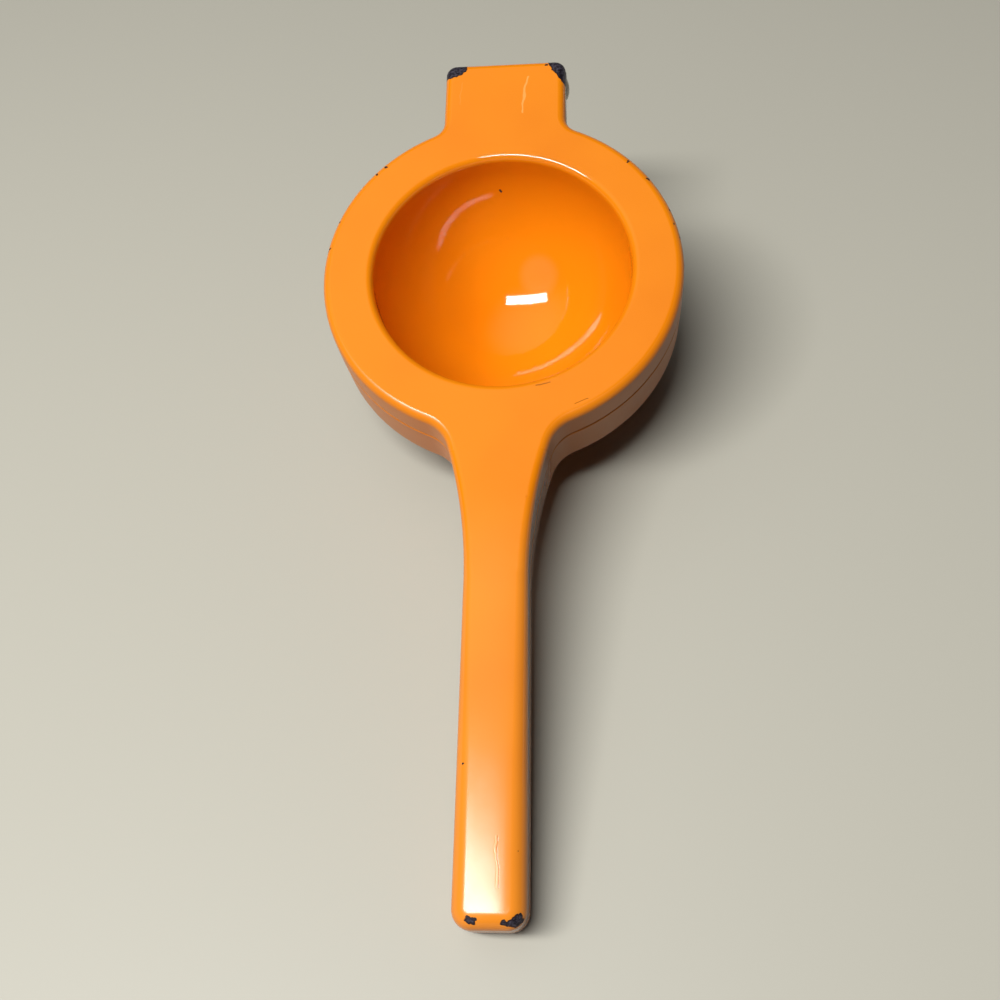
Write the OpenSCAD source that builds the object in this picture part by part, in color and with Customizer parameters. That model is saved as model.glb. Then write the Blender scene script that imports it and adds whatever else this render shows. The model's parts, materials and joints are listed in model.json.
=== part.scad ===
// Hinged citrus squeezer: two enamelled aluminium castings on one riveted steel pin.
// Each casting is drawn with the head's centre at x = y = 0, the parting plane between the levers at z = 0,
// the hinge towards +Y and the handles towards -Y. Both are then set down as the squeezer rests on a table:
// on the bottom of the cup and on the end of the lower handle.

/* [Head] */
// Radius of the head, over the ring above and the rim below
ring_r = 48; // [44:0.5:60]
// Height of the press lever's plate above the parting plane
ring_t = 10; // [9:0.5:14]
// Depth of the cup lever's rim below the parting plane
rim_d = 14.5; // [12:0.5:20]
// Gap between the two levers at the parting plane
parting_gap = 0.3; // [0.2:0.05:0.8]

/* [Bowl and cup] */
// Radius of the round opening in the top face, out to the end of its rounded lip
lip_r = 36.5; // [30:0.5:37]
// Radius of the rounded lip
lip_round = 2; // [1:0.25:3]
// Height of the dome's centre above the parting plane
dome_rise = 5; // [2:0.5:6]
// Wall of the dome
dome_wall = 2.8; // [2:0.1:4]
// Wall of the cup
cup_wall = 3; // [2:0.1:3.5]
// Gap left for the rind between the dome's side and the cup's
side_gap = 3.7; // [3:0.1:5.5]
// Gap left for the rind between the dome's bottom and the cup's
rind_gap = 6.7; // [5:0.1:9]
// Radius of the fillets where the dome and the cup leave their plates
root_fillet = 2; // [1:0.25:2.5]

/* [Handles] */
// From the head's edge to where the neck has narrowed to the grip
neck_len = 37; // [30:0.5:60]
// From the end of the neck to the end of the handle
grip_len = 81; // [60:0.5:110]
// Width of the grip where it is narrowest, at the end of the neck
grip_w = 15.8; // [13:0.2:20]
// Width of the handle at its end
end_w = 17; // [14:0.2:22]
// Radius of the handle's corners in plan
end_corner_r = 4.6; // [4.2:0.1:6]
// Radius of the long curve that narrows the neck
neck_r = 119; // [90:1:200]
// Radius of the fillet between the head and the neck
neck_fillet = 10; // [6:0.5:15]
// Height of the lower handle at its end
end_t = 7; // [6:0.25:10]
// Width of the channels cast in the inner faces of the handles
channel_w = 8.4; // [6:0.2:9]
// Metal left between the upper handle's channel and its top face
channel_roof = 3.6; // [3:0.1:5]
// Depth of the channel in the lower handle
channel_d = 3.2; // [2:0.1:4]
// Distance that each channel stays back from both ends of the grip
channel_back = 9; // [6:0.5:14]

/* [Edges] */
// Rounding of the outer edges around the head
edge_round = 2.4; // [1.5:0.1:3]
// Rounding of the outer edges along the grip
grip_round = 3.8; // [2.5:0.1:4]
// Draft angle of the cup lever's outer walls, in degrees
draft = 2; // [0:0.25:4]

/* [Hinge] */
// Width of the hinge tab
tab_w = 34; // [26:0.2:36]
// Radius of the tab's corners in plan
tab_corner_r = 3; // [2.7:0.1:4]
// Radius of the fillets between the tab and the head
tab_fillet = 5; // [3:0.25:7]
// From the head's edge to the pin's axis
pin_out = 15; // [13:0.25:17]
// Height of the pin's axis above the parting plane
pin_z = 2.5; // [2:0.1:3]
// Diameter of the hinge pin
pin_d = 4.8; // [3.6:0.1:5.2]
// Radial gap between the pin and the knuckle's bore, in which it turns
pin_run = 0.05; // [0.02:0.01:0.09]
// Amount by which the ears' bores are smaller than the pin, at the radius
pin_press = 0.02; // [0.01:0.01:0.04]
// Diameter of the riveted heads
pin_head_d = 6.2; // [5.6:0.1:7]
// Height of the riveted heads
pin_head_h = 0.8; // [0.5:0.1:1.2]
// Radius of the ears and of the knuckle about the pin
ear_r = 4.6; // [4.3:0.1:4.8]
// Width of the knuckle between the ears
knuckle_w = 14; // [10:0.5:16]
// Gap between the knuckle and each ear
side_play = 0.4; // [0.2:0.05:0.6]
// Gap between the knuckle and the tab around it
knuckle_gap = 0.4; // [0.3:0.05:0.6]
// Distance that the tongue's end face, which stops the opened lever, lies beyond the pin
stop_out = 1.6; // [1.2:0.1:2]

/* [Drain] */
// Number of drain slots in the cup's bottom
slot_count = 8; // [5:1:10]
// Width of each slot
slot_w = 3.2; // [2:0.1:3.8]
// Radius at which the slots start
slot_in = 8; // [7:0.5:10]
// Radius at which the slots end
slot_out = 21; // [15:0.5:24]
// Diameter of the drain hole in the middle
drain_d = 3.6; // [2:0.1:4]

/* [Hidden] */
enamel = "#F8922A";
steel = "#8F8B86";

// Facets: of true circles, then in degrees along arcs in outlines and along the neck's long curve,
// then in number on the rounded edges, along the bowls and along the grip
$fn = 64;
arc_step = 7.5;
neck_step = 2;
edge_steps = 4;
bowl_steps = 26;
grip_steps = 6;
// How far a cutter runs past what it cuts
over = 1;

// Spheres of the bowl, the dome, and the cup, which share a vertical axis
bowl_r = lip_r - lip_round;
dome_r = bowl_r + dome_wall;
cup_in_r = dome_r + side_gap;
cup_r = cup_in_r + cup_wall;
cup_z = dome_rise - dome_r - rind_gap + cup_in_r;

// Places along the levers
neck_y = -(ring_r + neck_len);
end_y = neck_y - grip_len;
pin_y = ring_r + pin_out;
tab_y = pin_y + ear_r;

// ---- Outline in plan, right-hand half, from the hinge end to the handle's end ----
// Every point is [x, y, nx, ny], with the way out of the metal as its normal.

// Arc about c from angle a0 to a1; side is 1 on an outside curve and -1 on a fillet
function arc(c, r, a0, a1, side, step = arc_step) =
  let (n = max(2, ceil(abs(a1 - a0) / step)))
  [for (i = [0 : n]) let (a = a0 + (a1 - a0) * i / n)
    [c.x + r * cos(a), c.y + r * sin(a), side * cos(a), side * sin(a)]];

// Right-hand point that lies ra from the origin and rb from c
function meet(ra, c, rb) =
  let (d = norm(c), a = (ra * ra - rb * rb + d * d) / (2 * d), h = sqrt(ra * ra - a * a))
  [(a * c.x + h * c.y) / d, (a * c.y - h * c.x) / d];

// Centres of the tab's fillet, of the neck's long curve and of the neck's fillet, with the angles they meet at
tab_c = [tab_w / 2 + tab_fillet,
         sqrt(pow(ring_r + tab_fillet, 2) - pow(tab_w / 2 + tab_fillet, 2))];
tab_a = atan2(tab_c.y, tab_c.x);
neck_c = [grip_w / 2 + neck_r, neck_y];
fillet_c = meet(ring_r + neck_fillet, neck_c, neck_r - neck_fillet);
fillet_a = atan2(fillet_c.y, fillet_c.x);
flare_a = atan2(fillet_c.y - neck_c.y, fillet_c.x - neck_c.x);
corner_c = [end_w / 2 - end_corner_r, end_y + end_corner_r];

// From the head to the handle's end, which both levers share
function handle_side() = concat(
  arc(fillet_c, neck_fillet, 180 + fillet_a, flare_a, -1),
  arc(neck_c, neck_r, flare_a + neck_step, 180, -1, neck_step),
  [for (i = [1 : grip_steps]) let (t = i / (grip_steps + 1))
    [(grip_w + (end_w - grip_w) * t) / 2, neck_y + (corner_c.y - neck_y) * t, 1, 0]],
  arc(corner_c, end_corner_r, 0, -90, 1));

press_side = concat(
  arc([tab_w / 2 - tab_corner_r, tab_y - tab_corner_r], tab_corner_r, 90, 0, 1),
  arc(tab_c, tab_fillet, 180, 180 + tab_a, -1),
  arc([0, 0], ring_r, tab_a - arc_step, fillet_a + arc_step, 1),
  handle_side());

// The cup lever's rim starts beside the middle line, inside the tongue
cup_side = concat(arc([0, 0], ring_r, 90 - arc_step / 2, fillet_a + arc_step, 1), handle_side());

// ---- A cast plate: flat on one face, rounded all round on the other ----

// Share of the way along the grip, eased at both ends, and the edge rounding there
function along(y) = let (t = max(0, min(1, (neck_y + neck_len / 2 - y) / grip_len))) t * t * (3 - 2 * t);
function rounding(y) = edge_round + (grip_round - edge_round) * along(y);

// Lower face of the press lever: the parting gap, then up around the pin at the end of the tab
function press_low(y) =
  y < pin_y ? parting_gap
  : max(parting_gap, pin_z - sqrt(max(0, ear_r * ear_r - (y - pin_y) * (y - pin_y))));

// Lower face of the cup lever: the rim's depth under the head, then tapering along the handle
function cup_low(y) =
  let (t = max(0, min(1, (-ring_r - y) / (-ring_r - end_y))))
  -rim_d + (rim_d - end_t) * sin(90 * t);

// One ring of points for each level. A level is [share of the rounding's inset, share of its drop].
levels = [for (i = [0 : edge_steps]) let (a = 90 * i / edge_steps) [1 - cos(a), 1 - sin(a)]];

function inset(p, d) = [p.x - p[2] * d, p.y - p[3] * d];

function flat_ring(side, up) =
  [for (p = side) [p.x, p.y, up ? press_low(p.y) : 0]];

function round_ring(side, up, level) =
  [for (p = side) let (r = rounding(p.y),
                       lean = up ? 0 : (-cup_low(p.y) - r) * tan(draft),
                       q = inset(p, r * level[0] + lean))
    [q.x, q.y, up ? ring_t - r * level[1] : cup_low(q.y) + r * level[1]]];

// The right-hand half followed by its mirror image, so that a ring of points goes round the plate once
function both_sides(half) =
  concat(half, [for (i = [len(half) - 1 : -1 : 0]) [-half[i].x, half[i].y, half[i].z]]);

module cast_plate(side, up) {
  n = len(side);
  m = 2 * n;
  rings = concat([both_sides(flat_ring(side, up))],
                 [for (level = levels) both_sides(round_ring(side, up, level))]);
  top = len(rings) - 1;
  walls = [for (k = [0 : top - 1]) for (j = [0 : m - 1])
    let (a = k * m + j, b = k * m + (j + 1) % m) each [[a, b, b + m], [a, b + m, a + m]]];
  caps = [for (i = [0 : n - 2]) let (a = i, b = i + 1, c = m - 2 - i, d = m - 1 - i)
    each [[a, d, c], [a, c, b],
          [top * m + a, top * m + c, top * m + d], [top * m + a, top * m + b, top * m + c]]];
  faces = concat(walls, caps);
  polyhedron(points = [for (ring = rings) each ring],
             faces = up ? faces : [for (f = faces) [f[2], f[1], f[0]]]);
}

// ---- Turned shapes about the head's axis ----

// Quarter arc in section as [radius, height] points
function bend(c, r, a0, a1, n) =
  [for (i = [0 : n]) let (a = a0 + (a1 - a0) * i / n) [c.x + r * cos(a), c.y + r * sin(a)]];

// A ball of radius r about height z, joined to a flat underside at height flat by a fillet, and closed above
module hanging_ball(r, z, flat) {
  fillet_z = flat - root_fillet;
  fillet_x = sqrt(pow(r + root_fillet, 2) - pow(z - fillet_z, 2));
  a = atan2(z - fillet_z, fillet_x);
  rotate_extrude()
    polygon(concat(
      bend([0, z], r, -90, -a, bowl_steps),
      bend([fillet_x, fillet_z], root_fillet, 180 - a, 90, edge_steps),
      [[fillet_x, flat + over], [0, flat + over]]));
}

// The hollow of the press lever: a half ball, a short straight wall, and the rounded lip
module bowl_cut() {
  rotate_extrude()
    polygon(concat(
      bend([0, dome_rise], bowl_r, -90, 0, bowl_steps),
      bend([bowl_r + lip_round, ring_t - lip_round], lip_round, 180, 90, edge_steps),
      [[lip_r, ring_t + over], [0, ring_t + over]]));
}

// The hollow of the cup
module cup_cut() {
  rotate_extrude()
    polygon(concat(
      bend([0, cup_z], cup_in_r, -90, 0, bowl_steps),
      [[cup_in_r, cup_z + over], [0, cup_z + over]]));
}

module drain_cuts() {
  translate([0, 0, cup_z - cup_r - over])
    linear_extrude(cup_r / 2)
      union() {
        circle(d = drain_d);
        for (i = [0 : slot_count - 1])
          rotate((i + 0.5) * 360 / slot_count) {
            translate([slot_in + slot_w / 2, 0]) circle(d = slot_w);
            translate([slot_out - slot_w / 2, 0]) circle(d = slot_w);
            translate([slot_in + slot_w / 2, -slot_w / 2]) square([slot_out - slot_in - slot_w, slot_w]);
          }
      }
}

// ---- Hinge ----

// A round bar along X about the pin's axis, between x0 and x1
module about_pin(r, x0, x1) {
  translate([x0, pin_y, pin_z]) rotate([0, 90, 0]) cylinder(r = r, h = x1 - x0);
}

// Room in the tab for the knuckle, and for the tongue that carries it, through the whole swing
module knuckle_room() {
  half = knuckle_w / 2 + side_play;
  r = ear_r + knuckle_gap;
  about_pin(r, -half, half);
  translate([-half, pin_y - r, pin_z - 2 * r]) cube([2 * half, r + over, 2 * r]);
  translate([-half, pin_y, pin_z - 2 * r]) cube([2 * half, ear_r + over, 3 * r]);
}

// The tongue runs from the rim out under the knuckle, and its end face stops the opened lever
module tongue() {
  root_y = ring_r - root_fillet - edge_round;
  stop_y = pin_y + stop_out;
  under = pin_z - 2 * ear_r - rim_d / 5;
  rotate([90, 0, 90])
    translate([0, 0, -knuckle_w / 2])
      linear_extrude(knuckle_w)
        polygon(concat(
          [[root_y, -parting_gap], [root_y, -rim_d + edge_round / 2]],
          bend([stop_y - edge_round, under + edge_round], edge_round, -75, 0, edge_steps),
          [[stop_y, -parting_gap]]));
}

// ---- Channels in the inner faces of the handles ----
module channel(low, high) {
  y0 = end_y + channel_back;
  y1 = neck_y - channel_back / 2;
  r = channel_w / 2;
  translate([0, 0, low])
    linear_extrude(high - low)
      union() {
        translate([0, y0 + r]) circle(r);
        translate([0, y1 - r]) circle(r);
        translate([-r, y0 + r]) square([channel_w, y1 - y0 - channel_w]);
      }
}

// ---- The squeezer set down on the table ----
// It touches the table at the cup, and at the rounded lower edge of the lower handle's end.
foot_y = end_y + grip_round + end_t * tan(draft);
foot_z = cup_low(end_y) + grip_round;
rest_tilt = asin((cup_r - grip_round) / norm([foot_y, cup_z - foot_z])) - atan2(cup_z - foot_z, -foot_y);
// Ends of the whole in Y once tilted: the upper handle's rounded end, and the ears
front = (end_y + grip_round) * cos(rest_tilt) - (ring_t - grip_round) * sin(rest_tilt) - grip_round;
back = pin_y * cos(rest_tilt) - pin_z * sin(rest_tilt) + ear_r;

module at_rest() {
  translate([0, -(front + back) / 2, cup_r - cup_z * cos(rest_tilt)])
    rotate([rest_tilt, 0, 0])
      children();
}

// ---- Sub-parts ----

// Lower casting: rim, slotted cup, lower handle, tongue and knuckle
module cup_lever() {
  color(enamel)
    at_rest()
      difference() {
        union() {
          cast_plate(cup_side, false);
          hanging_ball(cup_r, cup_z, -rim_d);
          tongue();
          about_pin(ear_r, -knuckle_w / 2, knuckle_w / 2);
        }
        cup_cut();
        drain_cuts();
        channel(-channel_d, over);
        about_pin(pin_d / 2 + pin_run, -knuckle_w, knuckle_w);
      }
}

// Upper casting: ring, dome with its bowl, upper handle, and the tab with its two ears
module press_lever() {
  ear_in = knuckle_w / 2 + side_play;
  color(enamel)
    at_rest()
      difference() {
        union() {
          difference() {
            union() {
              cast_plate(press_side, true);
              hanging_ball(dome_r, dome_rise, parting_gap);
            }
            bowl_cut();
            knuckle_room();
            channel(0, ring_t - channel_roof);
          }
          about_pin(ear_r, ear_in, tab_w / 2);
          about_pin(ear_r, -tab_w / 2, -ear_in);
        }
        about_pin(pin_d / 2 - pin_press, -tab_w, tab_w);
      }
}

// Steel pin, riveted over the outside of both ears
module hinge_pin() {
  cap_r = (pow(pin_head_d / 2, 2) + pow(pin_head_h, 2)) / (2 * pin_head_h);
  cap_a = asin(pin_head_d / 2 / cap_r);
  cap = bend([0, tab_w / 2 + pin_head_h - cap_r], cap_r, 90 - cap_a, 90, 2 * edge_steps);
  color(steel)
    at_rest()
      translate([0, pin_y, pin_z])
        rotate([0, 90, 0])
          rotate_extrude()
            polygon(concat(
              [for (i = [len(cap) - 1 : -1 : 0]) [cap[i].x, -cap[i].y]],
              [[pin_d / 2, -tab_w / 2], [pin_d / 2, tab_w / 2]],
              cap));
}

cup_lever();
press_lever();
hinge_pin();
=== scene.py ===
# %% [markdown]
# # An enamelled citrus squeezer
#
# This lesson dresses a imported CAD model of a hand citrus squeezer: two aluminium castings in orange enamel,
# which swing on one riveted steel pin. The lower casting is a slotted cup with a handle. The upper one is a
# flat ring with a hollow dome, a handle of its own, and a tab with two ears for the pin.
#
# Nothing in it is moved, and its sizes are printed at once.

# %% The imported model
import json
from math import acos, asin, atan2, cos, degrees, hypot, pi, radians, sin, sqrt, tan

import bmesh
import bpy
from mathutils import Matrix, Vector


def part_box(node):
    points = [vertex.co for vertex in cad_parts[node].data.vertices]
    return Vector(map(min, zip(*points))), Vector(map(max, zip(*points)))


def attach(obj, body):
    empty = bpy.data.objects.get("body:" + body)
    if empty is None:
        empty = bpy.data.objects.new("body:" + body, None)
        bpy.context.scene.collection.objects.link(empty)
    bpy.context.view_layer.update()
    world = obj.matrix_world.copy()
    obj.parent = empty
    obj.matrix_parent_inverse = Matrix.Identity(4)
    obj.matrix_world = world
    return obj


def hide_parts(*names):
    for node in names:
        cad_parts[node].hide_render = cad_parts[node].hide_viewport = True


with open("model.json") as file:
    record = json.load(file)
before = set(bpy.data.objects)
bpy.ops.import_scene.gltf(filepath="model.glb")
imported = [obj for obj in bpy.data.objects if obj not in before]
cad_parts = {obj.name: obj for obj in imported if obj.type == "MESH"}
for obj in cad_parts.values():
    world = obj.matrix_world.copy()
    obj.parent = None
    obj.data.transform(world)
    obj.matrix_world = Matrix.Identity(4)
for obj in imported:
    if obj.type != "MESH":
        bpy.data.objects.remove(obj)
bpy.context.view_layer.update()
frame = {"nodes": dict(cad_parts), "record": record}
for name in frame["nodes"]:
    low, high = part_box(name)
    print(name, "is", " x ".join(f"{(b - a) * 1000:.1f}" for a, b in zip(low, high)), "mm")

# %% [markdown]
# ## One drawing frame for both castings
#
# A founder draws both levers lying level: the middle of the head at x = y = 0, the face where the levers
# meet at z = 0, the hinge along +Y and the handles along -Y, all in millimetres. The squeezer then stands a
# little tilted on its round cup. So the pieces are modelled in that level frame, and one matrix sets them
# down. Its tilt comes from the record's flat face, and its place from the record's hinge.

# %% From the drawing frame to the table
PIN_Y, PIN_Z = 63.0, 2.5  # the pin's axis in the drawing frame, mm

up = Vector(frame["record"]["mounts"][0]["axis"])
tilt = atan2(-up.y, up.z)
pin_at = Vector(frame["record"]["behaviour"]["joints"][0]["pos_m"])
level = Matrix.Rotation(tilt, 4, "X") @ Matrix.Scale(0.001, 4)
SET_DOWN = Matrix.Translation(pin_at - level @ Vector((0, PIN_Y, PIN_Z))) @ level
print(f"the squeezer rests tilted by {degrees(tilt):.2f} degrees")

# %% [markdown]
# ## The camera
#
# The photograph looks down on the squeezer from in front of its handles, through a normal lens. The place
# and turn of the camera were worked out from the two circles of the head and from the whole outline.

# %% The camera
camera = bpy.data.objects.new("camera", bpy.data.cameras.new("camera"))
camera.location = (0.0290, -0.1887, 0.2893)
camera.rotation_euler = [radians(angle) for angle in (34.182, 4.886, 2.186)]
camera.data.lens, camera.data.sensor_width = 45.0, 36.0
camera.data.clip_start = 0.01
bpy.context.collection.objects.link(camera)
bpy.context.scene.camera = camera
print(f"the camera is {camera.location.length * 1000:.0f} mm from the middle of the squeezer's length")

# %% [markdown]
# ## The sizes
#
# These are the CAD source's own named sizes, in millimetres. The dressed pieces take the same shapes, with
# finer curves and with the small roundings that a casting has everywhere.

# %% Sizes of the head, the bowl and the cup
RING_R, RING_T, RIM_D, PARTING_GAP = 48.0, 10.0, 14.5, 0.3
LIP_R, LIP_ROUND, DOME_RISE = 36.5, 2.0, 5.0
DOME_WALL, CUP_WALL, SIDE_GAP, RIND_GAP, ROOT_FILLET = 2.8, 3.0, 3.7, 6.7, 2.0
BOWL_R = LIP_R - LIP_ROUND
DOME_R = BOWL_R + DOME_WALL
CUP_IN_R = DOME_R + SIDE_GAP
CUP_R = CUP_IN_R + CUP_WALL
CUP_Z = DOME_RISE - DOME_R - RIND_GAP + CUP_IN_R
print(f"bowl {2 * BOWL_R:.0f} mm across, cup {2 * CUP_IN_R:.0f} mm inside and {2 * CUP_R:.0f} mm outside")

# %% Sizes of the handles and the hinge
NECK_LEN, GRIP_LEN, GRIP_W, END_W, END_CORNER_R = 37.0, 81.0, 15.8, 17.0, 4.6
NECK_R, NECK_FILLET, END_T = 119.0, 10.0, 7.0
CHANNEL_W, CHANNEL_ROOF, CHANNEL_D, CHANNEL_BACK = 8.4, 3.6, 3.2, 9.0
EDGE_ROUND, GRIP_ROUND, PARTING_ROUND, DRAFT = 2.4, 3.8, 0.5, radians(2)
TAB_W, TAB_CORNER_R, TAB_FILLET = 34.0, 3.0, 5.0
PIN_D, PIN_HEAD_D, PIN_HEAD_H, EAR_R = 4.8, 6.2, 0.8, 4.6
KNUCKLE_W, SIDE_PLAY, KNUCKLE_GAP, PIN_RUN, STOP_OUT = 14.0, 0.4, 0.4, 0.05, 1.6
NECK_Y = -(RING_R + NECK_LEN)
END_Y = NECK_Y - GRIP_LEN
TAB_Y = PIN_Y + EAR_R
STOP_Y = PIN_Y + STOP_OUT
print(f"the levers are {TAB_Y - END_Y:.1f} mm long")

# %% [markdown]
# ## A pen that draws edges
#
# Every outline here is straight lines and arcs that run smoothly into each other, as a draughtsman would
# draw it. One vertex acts as the pen: extruding it draws a line, and spinning it about a centre draws an
# arc. Curves from a curve object would do too, but the pen keeps each arc's centre and angle exact.

# %% The pen
X_AXIS, Y_AXIS, Z_AXIS = (1, 0, 0), (0, 1, 0), (0, 0, 1)
TOUCH = 0.001  # places nearer to each other than this are one, mm


def line_to(bm, pen, x, y, z):
    """Draw a straight edge from the pen, and return the pen at its end."""
    tip = bmesh.ops.extrude_vert_indiv(bm, verts=[pen])["verts"][0]
    tip.co = (x, y, z)
    return tip


def arc_to(bm, pen, centre, turn, steps, axis=Z_AXIS):
    """Draw an arc of so many degrees about a centre, and return the pen at its end."""
    drawn = bmesh.ops.spin(
        bm, geom=[pen], cent=centre, axis=axis, angle=radians(turn), steps=steps
    )["geom_last"]
    return next(part for part in drawn if isinstance(part, bmesh.types.BMVert))


# %% [markdown]
# ## The plan of a casting
#
# Both castings share the plan of the head and the handle: a circle, a small fillet, one long slow curve
# that narrows the neck, and a grip that widens a little to its rounded end. The centres of the two fillets
# follow from the circles they touch. Only the right-hand half is drawn, and a mirror gives the other half.

# %% Centres and angles of the arcs
tab_c = Vector((TAB_W / 2 + TAB_FILLET, 0, 0))
tab_c.y = sqrt((RING_R + TAB_FILLET) ** 2 - tab_c.x**2)
tab_a = degrees(atan2(tab_c.y, tab_c.x))
neck_c = Vector((GRIP_W / 2 + NECK_R, NECK_Y, 0))

to_neck, from_head, from_neck = neck_c.length, RING_R + NECK_FILLET, NECK_R - NECK_FILLET
along = (from_head**2 - from_neck**2 + to_neck**2) / (2 * to_neck)
aside = sqrt(from_head**2 - along**2)
fillet_c = (along * neck_c + aside * Vector((neck_c.y, -neck_c.x, 0))) / to_neck
fillet_a = degrees(atan2(fillet_c.y, fillet_c.x))
flare_a = degrees(atan2(fillet_c.y - neck_c.y, fillet_c.x - neck_c.x))
corner_c = Vector((END_W / 2 - END_CORNER_R, END_Y + END_CORNER_R, 0))
print(f"the neck's fillet turns {flare_a - 180 - fillet_a:.1f} degrees, its long curve {180 - flare_a:.1f}")

# %% Half of the plan, with its opening
ARC_STEP = 2.5  # degrees from point to point of the head's circles and of the balls
HALF_TURN_STEPS = round(180 / ARC_STEP)
TAB_STEPS, FILLET_STEPS, NECK_STEPS = 8, 12, 18


def half_plan(opening_r, tab):
    """The right half of a plate's plan as one flat face, round the opening for the bowl or the cup."""
    bm = bmesh.new()
    pen = line_to(bm, bm.verts.new((0, opening_r, 0)), 0, TAB_Y if tab else RING_R, 0)
    if tab:
        pen = line_to(bm, pen, TAB_W / 2 - TAB_CORNER_R, TAB_Y, 0)
        corner = (TAB_W / 2 - TAB_CORNER_R, TAB_Y - TAB_CORNER_R, 0)
        pen = arc_to(bm, pen, corner, -90, TAB_STEPS)
        pen = line_to(bm, pen, TAB_W / 2, tab_c.y, 0)
        pen = arc_to(bm, pen, tab_c, tab_a, TAB_STEPS)
    turn = fillet_a - (tab_a if tab else 90)
    pen = arc_to(bm, pen, (0, 0, 0), turn, round(-turn / ARC_STEP))
    pen = arc_to(bm, pen, fillet_c, flare_a - 180 - fillet_a, FILLET_STEPS)
    pen = arc_to(bm, pen, neck_c, 180 - flare_a, NECK_STEPS)
    pen = line_to(bm, pen, END_W / 2, corner_c.y, 0)
    pen = arc_to(bm, pen, corner_c, -90, FILLET_STEPS)
    pen = line_to(bm, pen, 0, END_Y, 0)
    pen = line_to(bm, pen, 0, -opening_r, 0)
    arc_to(bm, pen, (0, 0, 0), 180, HALF_TURN_STEPS)
    bmesh.ops.remove_doubles(bm, verts=bm.verts[:], dist=TOUCH)
    bmesh.ops.contextual_create(bm, geom=bm.edges[:])
    return bm


# %% [markdown]
# ## From a plan to a cast plate
#
# The plan is given its height by one extrusion. Cuts straight across it give the handle enough edges to
# bend: the lower lever's underside rises in a slow curve from the rim to the handle's end, and all its
# outer walls lean in by two degrees, the draft that lets a casting out of its mould.

# %% The slow changes along the lever
def eased(t):
    """From 0 to 1 with a smooth start and end."""
    t = min(1, max(0, t))
    return t * t * (3 - 2 * t)


def edge_rounding(y):
    """The rounding of the outer edges, small round the head and large on the grip."""
    share = eased((NECK_Y + NECK_LEN / 2 - y) / GRIP_LEN)
    return EDGE_ROUND + (GRIP_ROUND - EDGE_ROUND) * share


def cup_low(y):
    """The height of the lower lever's underside."""
    share = min(1, max(0, (-RING_R - y) / (-RING_R - END_Y)))
    return -RIM_D + (RIM_D - END_T) * sin(pi / 2 * share)


print(f"outer edges are rounded by {edge_rounding(0):.1f} mm, and at the end by {edge_rounding(END_Y):.1f}")
print(f"the lower lever is {-cup_low(0):.1f} mm deep at its rim, {-cup_low(END_Y):.1f} at the end")

# %% The plate
CUTS, CUT_STEP = 25, 4.4  # across the lever, from the head to the handle's end
CROWN_CUTS, CROWN_START = (1.6, 3.2), 4.0  # along the handle, at these x, from so far behind the head
ON_CIRCLE = 0.01


def cut(bm, parts, place, axis):
    """Cut these parts of the mesh by a plane, and keep both sides."""
    bmesh.ops.bisect_plane(bm, geom=parts, dist=TOUCH, plane_co=place, plane_no=axis)


def half_plate(opening_r, back_r, top, bottom, tab):
    """The right half of a plate, open at the middle line and round its opening, which is back_r below."""
    bm = half_plan(opening_r, tab)
    for k in range(1, CUTS + 1):
        everything = bm.verts[:] + bm.edges[:] + bm.faces[:]
        cut(bm, everything, (0, -RING_R - CUT_STEP * k, 0), Y_AXIS)
    for x in CROWN_CUTS:
        grip = [f for f in bm.faces if f.calc_center_median().y < -RING_R - CROWN_START]
        cut(bm, list({part for f in grip for part in (*f.verts, *f.edges, f)}), (x, 0, 0), X_AXIS)
    bmesh.ops.translate(bm, verts=bm.verts[:], vec=(0, 0, top))
    made = bmesh.ops.extrude_face_region(bm, geom=bm.faces[:])["geom"]
    lower = [part for part in made if isinstance(part, bmesh.types.BMVert)]
    bmesh.ops.translate(bm, verts=lower, vec=(0, 0, bottom - top))

    def on_opening(v):
        return abs(hypot(v.co.x, v.co.y) - opening_r) < ON_CIRCLE

    inner_walls = [
        f
        for f in bm.faces
        if all(abs(v.co.x) < TOUCH for v in f.verts) or all(on_opening(v) for v in f.verts)
    ]
    bmesh.ops.delete(bm, geom=inner_walls, context="FACES")
    widen = back_r / opening_r
    bmesh.ops.scale(bm, verts=[v for v in lower if on_opening(v)], vec=(widen, widen, 1))
    return bm, lower


# %% [markdown]
# ## Bowls turned about the head's axis
#
# The dome and the cup are shells between two balls, with a fillet where they leave their plate. A lathe is
# the natural tool: the pen draws each section in the plane x = 0, and half a turn of spin makes the
# surface. Its edge points fall exactly on those of the plate's opening, so merging the doubles joins them.

# %% Sections of the shells
ROOT_STEPS = 6


def ball_section(bm, pen, z, turn):
    """Draw down a ball's side about height z as far as its bottom, through so many degrees."""
    arc_to(bm, pen, (0, 0, z), turn, round(turn / ARC_STEP), X_AXIS)


def root_r(r, z, flat):
    """Where the fillet of a ball of radius r about height z meets the plate's underside, flat."""
    return sqrt((r + ROOT_FILLET) ** 2 - (z - flat + ROOT_FILLET) ** 2)


def outer_section(bm, r, z, flat):
    """The outside of that ball, from its fillet under the plate to its bottom."""
    x = root_r(r, z, flat)
    start = degrees(atan2(z - flat + ROOT_FILLET, x))
    pen = bm.verts.new((0, -x, flat))
    pen = arc_to(bm, pen, (0, -x, flat - ROOT_FILLET), start - 90, ROOT_STEPS, X_AXIS)
    ball_section(bm, pen, z, 90 - start)


# %% From sections to a closed casting
SEAM = 0.005  # the two halves and the shells are merged where they are this near, mm


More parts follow.
